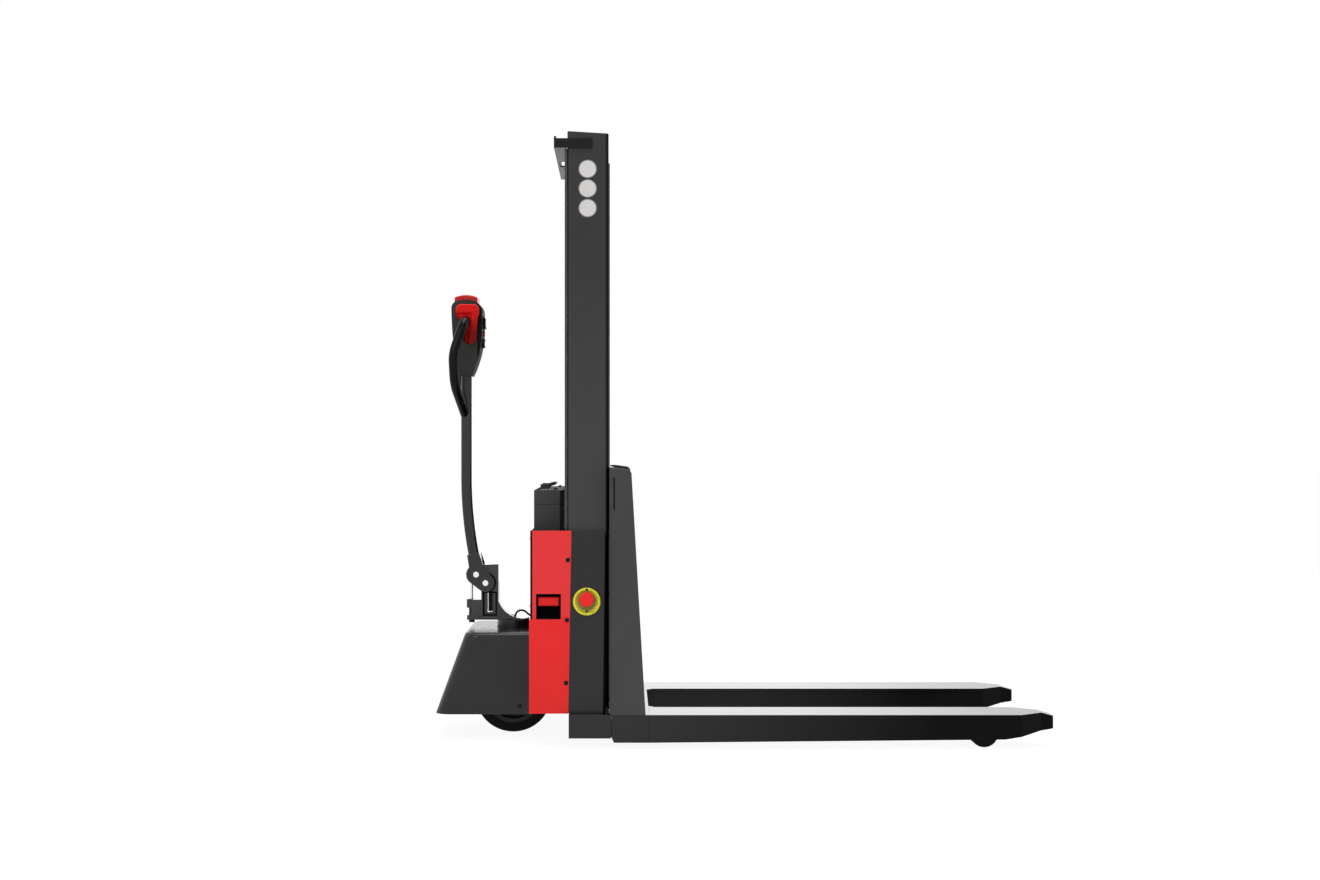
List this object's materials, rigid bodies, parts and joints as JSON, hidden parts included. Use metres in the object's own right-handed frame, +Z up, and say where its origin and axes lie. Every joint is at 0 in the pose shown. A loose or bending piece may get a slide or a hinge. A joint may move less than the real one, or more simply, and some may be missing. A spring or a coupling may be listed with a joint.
{
  "type": "high-lift pallet truck",
  "caption": "Electric walk-behind stacker: forks on a carriage that rises in a twin-channel mast, support legs inside the forks, steered drive wheel and tiller.",
  "frame": {"origin": "on the floor under the middle of the length and width, with the forks down", "axes": "+X from the drive cover to the fork tips, +Z up, +Y towards the side without the emergency stop"},
  "size_m": [1.77, 0.685, 1.747],
  "materials": {
    "black_paint": "gloss",
    "red_paint": "gloss",
    "clear_sheet": "clear",
    "bright_steel": "machined",
    "chromed_rod": "polished",
    "dark_casting": "cast",
    "motor_metal": "cast",
    "gas_spring_paint": "satin",
    "black_plastic": "fine grain",
    "red_plastic": "satin",
    "yellow_plastic": "satin",
    "grip_rubber": "matt",
    "wheel_polyurethane": "satin",
    "cable_sheath": "matt"
  },
  "bodies": {
    "chassis": {"base_frame": "black_paint", "support_legs": "black_paint", "mast_columns": "black_paint", "mast_beams": "black_paint", "mast_strap": "black_paint", "mast_guard": "clear_sheet", "lift_cylinder": "black_paint", "side_plates": "black_paint", "near_side_cover": "red_paint", "far_side_cover": "red_paint", "plug_recess": "black_plastic", "body_panels": "black_paint", "equipment_shelves": "black_paint", "power_unit": "motor_metal", "motor_controller": "motor_metal", "estop_collar": "yellow_plastic", "drive_mount": "black_paint", "bearing_ring": "bright_steel", "drive_cover": "black_plastic", "lift_chains_rear": "bright_steel", "motor_cable": "cable_sheath"},
    "carriage": {"near_fork": "black_paint", "far_fork": "black_paint", "fork_heel": "black_paint", "carriage_gussets": "black_paint", "carriage_posts": "black_paint", "carriage_crossbars": "black_paint", "roller_brackets": "black_paint"},
    "near_lower_roller": {"near_lower_roller": "bright_steel"},
    "far_lower_roller": {"far_lower_roller": "bright_steel"},
    "near_upper_roller": {"near_upper_roller": "bright_steel"},
    "far_upper_roller": {"far_upper_roller": "bright_steel"},
    "crosshead": {"piston_rod": "chromed_rod", "crosshead": "black_paint", "lift_chains_front": "bright_steel"},
    "near_sheave": {"near_sheave": "bright_steel"},
    "far_sheave": {"far_sheave": "bright_steel"},
    "near_load_wheel": {"near_load_wheel": "wheel_polyurethane"},
    "far_load_wheel": {"far_load_wheel": "wheel_polyurethane"},
    "drive_wheel": {"drive_tyre": "wheel_polyurethane", "drive_hub": "dark_casting"},
    "steering": {"drive_yoke": "dark_casting", "drive_motor": "motor_metal", "turntable": "bright_steel", "tiller_bracket": "black_paint", "gas_spring_body": "gas_spring_paint"},
    "gas_spring_rod": {"gas_spring_rod": "chromed_rod"},
    "tiller": {"tiller_arm": "black_paint", "tiller_pins": "bright_steel", "head_housing": "black_plastic", "control_panel": "black_plastic", "bow_handles": "grip_rubber"},
    "thumb_paddles": {"thumb_paddles": "red_plastic"},
    "belly_button": {"belly_button": "red_plastic"},
    "horn_button": {"horn_button": "red_plastic"},
    "lift_rocker": {"lift_rocker": "black_plastic"},
    "battery": {"battery_pack": "black_plastic"},
    "battery_handle": {"battery_handle": "bright_steel"},
    "pull_plug": {"pull_plug": "red_plastic"},
    "estop_button": {"estop_button": "red_plastic"}
  },
  "joints": [
    {"name": "lift", "type": "slide", "parent": "chassis", "child": "carriage", "axis": [0, 0, 1], "range_m": [0, 1.15]},
    {"name": "crosshead_lift", "type": "slide", "parent": "chassis", "child": "crosshead", "axis": [0, 0, 1], "range_m": [0, 0.58], "deforming": ["lift_chains_front", "lift_chains_rear"]},
    {"name": "near_lower_roller_spin", "type": "hinge", "parent": "carriage", "child": "near_lower_roller", "pos_m": [-0.438, -0.2603, 0.17], "axis": [0, 1, 0], "range_deg": [-1440, 10]},
    {"name": "near_upper_roller_spin", "type": "hinge", "parent": "carriage", "child": "near_upper_roller", "pos_m": [-0.438, -0.2603, 0.54], "axis": [0, 1, 0], "range_deg": [-10, 1440]},
    {"name": "near_sheave_spin", "type": "hinge", "parent": "crosshead", "child": "near_sheave", "pos_m": [-0.438, -0.06, 0.9475], "axis": [0, 1, 0], "range_deg": [-740, 10]},
    {"name": "near_load_wheel_spin", "type": "hinge", "parent": "chassis", "child": "near_load_wheel", "pos_m": [0.685, -0.267, 0.04], "axis": [0, 1, 0], "continuous": true},
    {"name": "far_lower_roller_spin", "type": "hinge", "parent": "carriage", "child": "far_lower_roller", "pos_m": [-0.438, 0.2603, 0.17], "axis": [0, 1, 0], "range_deg": [-1440, 10]},
    {"name": "far_upper_roller_spin", "type": "hinge", "parent": "carriage", "child": "far_upper_roller", "pos_m": [-0.438, 0.2603, 0.54], "axis": [0, 1, 0], "range_deg": [-10, 1440]},
    {"name": "far_sheave_spin", "type": "hinge", "parent": "crosshead", "child": "far_sheave", "pos_m": [-0.438, 0.06, 0.9475], "axis": [0, 1, 0], "range_deg": [-740, 10]},
    {"name": "far_load_wheel_spin", "type": "hinge", "parent": "chassis", "child": "far_load_wheel", "pos_m": [0.685, 0.267, 0.04], "axis": [0, 1, 0], "continuous": true},
    {"name": "steer", "type": "hinge", "parent": "chassis", "child": "steering", "pos_m": [-0.6655, 0, 0.29], "axis": [0, 0, 1], "range_deg": [-90, 90]},
    {"name": "drive_wheel_spin", "type": "hinge", "parent": "steering", "child": "drive_wheel", "pos_m": [-0.6655, 0, 0.115], "axis": [0, 1, 0], "continuous": true},
    {"name": "tiller_tilt", "type": "hinge", "parent": "steering", "child": "tiller", "pos_m": [-0.748, 0, 0.4445], "axis": [0, -1, 0], "range_deg": [0, 80], "stiffness_Nm_per_rad": 16.4, "springref_deg": -41.83},
    {"name": "gas_spring_stroke", "type": "slide", "parent": "steering", "child": "gas_spring_rod", "axis": [0, 0, -1], "range_m": [0, 0.049]},
    {"name": "thumb_paddle_turn", "type": "hinge", "parent": "tiller", "child": "thumb_paddles", "pos_m": [-0.8035, -0.075, 1.223], "axis": [0, 1, 0], "range_deg": [-25, 25], "stiffness_Nm_per_rad": 4},
    {"name": "belly_button_press", "type": "slide", "parent": "tiller", "child": "belly_button", "axis": [0, 0, -1], "range_m": [0, 0.008], "stiffness_N_per_m": 900, "springref_m": -0.006},
    {"name": "horn_button_press", "type": "slide", "parent": "tiller", "child": "horn_button", "axis": [-1, 0, 0], "range_m": [0, 0.003], "stiffness_N_per_m": 600, "springref_m": -0.002},
    {"name": "lift_rocker_tip", "type": "hinge", "parent": "tiller", "child": "lift_rocker", "pos_m": [-0.7575, 0, 1.161], "axis": [0, 1, 0], "range_deg": [-8, 8], "stiffness_Nm_per_rad": 0.4},
    {"name": "battery_lift_out", "type": "slide", "parent": "chassis", "child": "battery", "axis": [0, 0, 1], "range_m": [0, 0.18]},
    {"name": "battery_handle_raise", "type": "hinge", "parent": "battery", "child": "battery_handle", "pos_m": [-0.5705, 0, 0.7335], "axis": [0, -1, 0], "range_deg": [0, 70]},
    {"name": "pull_plug_out", "type": "slide", "parent": "chassis", "child": "pull_plug", "axis": [0, -1, 0], "range_m": [0, 0.06]},
    {"name": "estop_press", "type": "slide", "parent": "chassis", "child": "estop_button", "axis": [0, 1, 0], "range_m": [0, 0.005]}
  ],
  "couplings": [
    {"joint": "crosshead_lift", "follows": "lift", "ratio": 0.5},
    {"joint": "near_lower_roller_spin", "follows": "lift", "rad_per_m": -21.645},
    {"joint": "near_upper_roller_spin", "follows": "lift", "rad_per_m": 21.645},
    {"joint": "near_sheave_spin", "follows": "lift", "rad_per_m": -11.037},
    {"joint": "far_lower_roller_spin", "follows": "lift", "rad_per_m": -21.645},
    {"joint": "far_upper_roller_spin", "follows": "lift", "rad_per_m": 21.645},
    {"joint": "far_sheave_spin", "follows": "lift", "rad_per_m": -11.037},
    {"joint": "gas_spring_stroke", "follows": "tiller_tilt", "m_per_rad": 0.0346}
  ]
}
